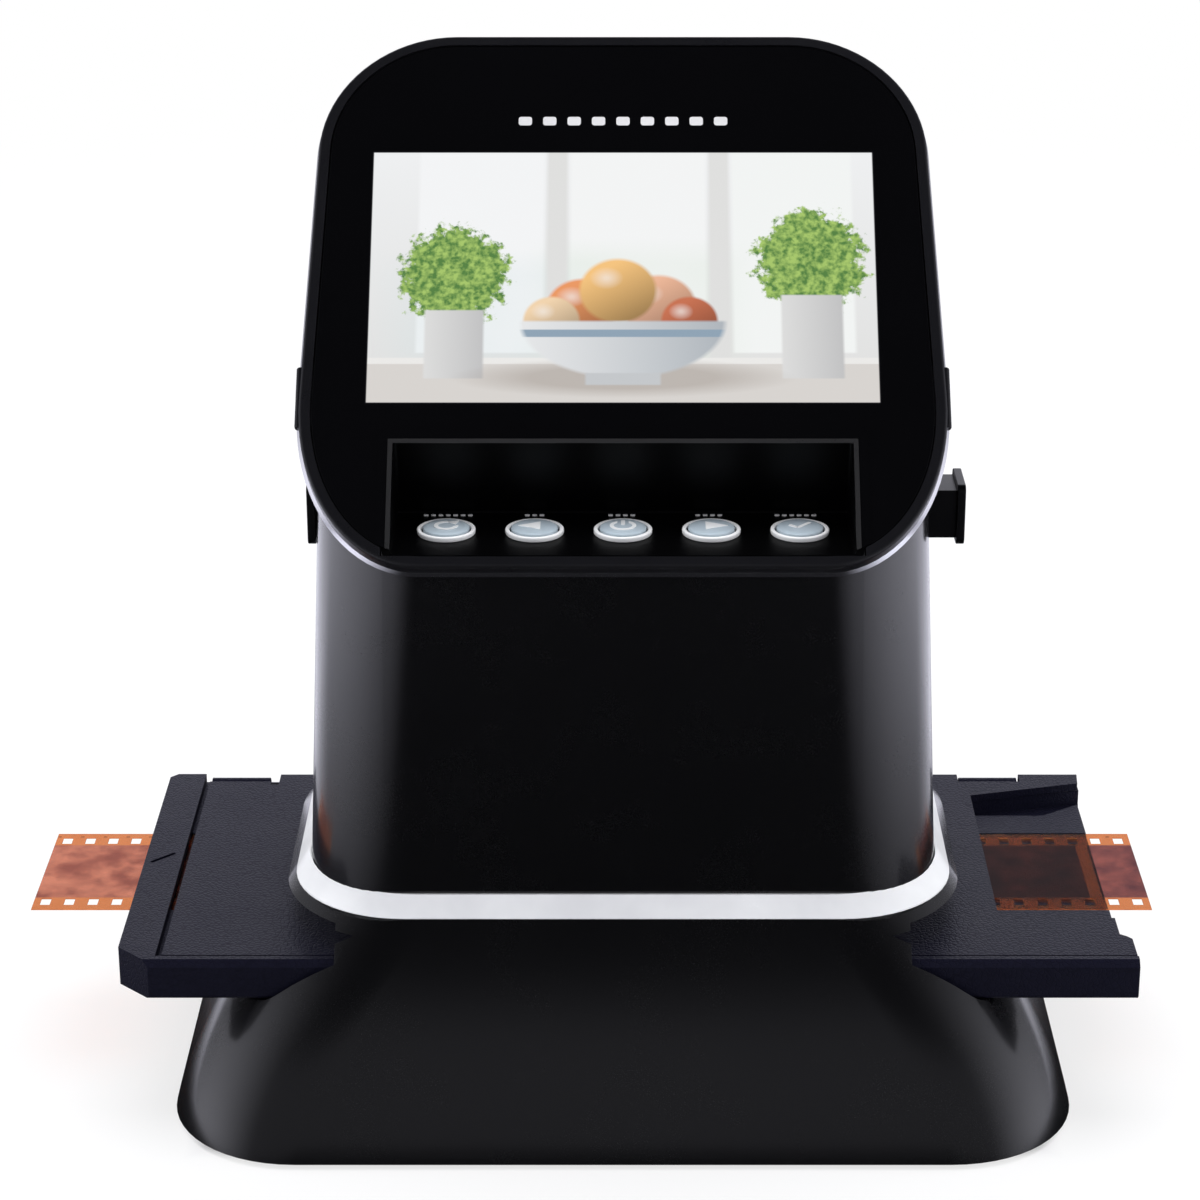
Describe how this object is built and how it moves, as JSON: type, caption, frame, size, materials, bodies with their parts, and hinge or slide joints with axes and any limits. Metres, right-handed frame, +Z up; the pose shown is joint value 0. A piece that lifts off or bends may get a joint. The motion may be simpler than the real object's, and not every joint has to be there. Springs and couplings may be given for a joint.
{
  "type": "film negative scanner",
  "caption": "Desktop film scanner with flared base, upright column, inclined display head, push buttons, and a sliding film tray with a hinged lid.",
  "frame": {"origin": "on the desk, under the optical axis, which is the middle of the base", "axes": "+X to the right along the film, +Y to the back, +Z up; the display faces -Y and up"},
  "size_m": [0.2233, 0.1298, 0.1945],
  "materials": {
    "satin_black": "satin",
    "inner_black": "matt",
    "ring_silver": "satin silver-white",
    "rim_grey": "satin grey rim",
    "panel_gloss": "gloss",
    "screen": "gloss display",
    "tray_grain": "grained",
    "cap_blue": "satin",
    "ring_white": "gloss",
    "white_plastic": "matt",
    "diffuser": "milky",
    "board_green": "solder mask",
    "chip_black": "matt",
    "led_yellow": "gloss",
    "steel": "brushed",
    "foot_rubber": "matt",
    "lens_clear": "coated",
    "film_base": "orange film base"
  },
  "bodies": {
    "housing": {"base_skirt": "satin_black", "bottom_plate": "inner_black", "rubber_feet": "foot_rubber", "bottom_screws": "steel", "trim_ring": "ring_silver", "film_bed": "inner_black", "diffuser_panel": "diffuser", "light_box": "white_plastic", "led_board": "board_green", "backlight_leds": "led_yellow", "tray_detents": "steel", "column_shell": "satin_black", "side_catches": "satin_black", "head_frame": "rim_grey", "front_panel": "panel_gloss", "lcd_module": "screen", "lcd_bracket": "steel", "button_tray": "inner_black", "button_rings": "ring_white", "button_board": "board_green", "button_switches": "chip_black", "main_board": "board_green", "board_chips": "chip_black", "usb_port": "steel", "hdmi_port": "steel", "card_slot": "steel", "optics_tunnel": "inner_black", "camera_bracket": "steel", "camera_board": "board_green", "image_sensor": "chip_black", "lens_holder": "inner_black", "lens_barrel": "inner_black", "lens_glass": "lens_clear", "tunnel_screws": "steel", "head_screws": "steel"},
    "selector": {"selector_bar": "satin_black", "close_up_lens": "lens_clear", "selector_cap_right": "satin_black", "selector_cap_left": "satin_black"},
    "tray": {"tray_base": "tray_grain", "hinge_pins": "steel"},
    "lid": {"tray_lid": "tray_grain"},
    "film": {"film_strip": "film_base"},
    "mode_button": {"button_mode": "cap_blue"},
    "left_button": {"button_left": "cap_blue"},
    "power_button": {"button_power": "cap_blue"},
    "right_button": {"button_right": "cap_blue"},
    "ok_button": {"button_ok": "cap_blue"}
  },
  "joints": [
    {"name": "tray_slide", "type": "slide", "parent": "housing", "child": "tray", "axis": [1, 0, 0], "range_m": [-0.172, 0.038]},
    {"name": "lid_hinge", "type": "hinge", "parent": "tray", "child": "lid", "pos_m": [0, 0.0418, 0.0311], "axis": [-1, 0, 0], "range_deg": [0, 2.5]},
    {"name": "film_slide", "type": "slide", "parent": "tray", "child": "film", "axis": [1, 0, 0], "range_m": [-0.076, 0.076]},
    {"name": "selector_slide", "type": "slide", "parent": "housing", "child": "selector", "axis": [1, 0, 0], "range_m": [-0.005, 0]},
    {"name": "mode_press", "type": "slide", "parent": "housing", "child": "mode_button", "axis": [0, 0, -1], "range_m": [0, 0.0008], "stiffness_N_per_m": 300},
    {"name": "left_press", "type": "slide", "parent": "housing", "child": "left_button", "axis": [0, 0, -1], "range_m": [0, 0.0008], "stiffness_N_per_m": 300},
    {"name": "power_press", "type": "slide", "parent": "housing", "child": "power_button", "axis": [0, 0, -1], "range_m": [0, 0.0008], "stiffness_N_per_m": 300},
    {"name": "right_press", "type": "slide", "parent": "housing", "child": "right_button", "axis": [0, 0, -1], "range_m": [0, 0.0008], "stiffness_N_per_m": 300},
    {"name": "ok_press", "type": "slide", "parent": "housing", "child": "ok_button", "axis": [0, 0, -1], "range_m": [0, 0.0008], "stiffness_N_per_m": 300}
  ]
}
